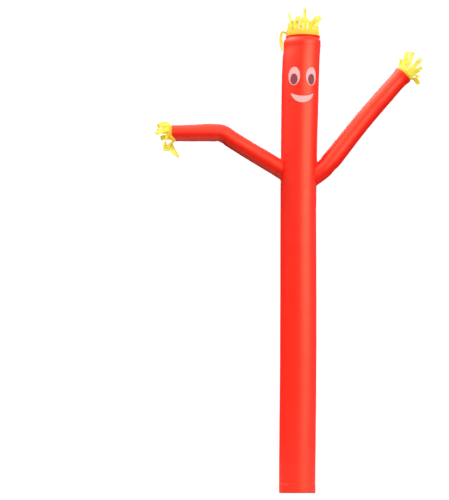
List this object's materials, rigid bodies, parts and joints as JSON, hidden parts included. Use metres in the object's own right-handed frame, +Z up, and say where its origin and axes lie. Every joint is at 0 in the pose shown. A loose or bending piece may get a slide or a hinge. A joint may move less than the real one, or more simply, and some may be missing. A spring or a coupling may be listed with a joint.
{
  "type": "inflatable air dancer",
  "caption": "Inflatable fabric tube man, upright, with bent and raised sleeves, streamer hair and wrists and a smiling face; open at the base for a blower's air",
  "frame": {"origin": "on the floor, under the middle of the bounding box, which is about 0.09 m from the middle of the tube's base", "axes": "+Z up along the tube, -Y the way the face looks, +X to the right of someone looking at the face"},
  "size_m": [3.3708, 0.5563, 6.0622],
  "materials": {
    "red_cloth": "bright red coated ripstop nylon, slightly glossy",
    "streamer_cloth": "yellow ripstop nylon, slightly glossy",
    "patch_white": "white cloth, slightly pink over the red",
    "patch_dark": "dark maroon cloth, matte"
  },
  "bodies": {
    "root": {"body_tube": "red_cloth", "arm_left": "red_cloth", "arm_right": "red_cloth", "hair_fringe": "streamer_cloth", "wrist_fringe_left": "streamer_cloth", "wrist_fringe_right": "streamer_cloth", "eye_white_left": "patch_white", "eye_white_right": "patch_white", "mouth": "patch_white", "pupil_left": "patch_dark", "pupil_right": "patch_dark"}
  },
  "joints": []
}
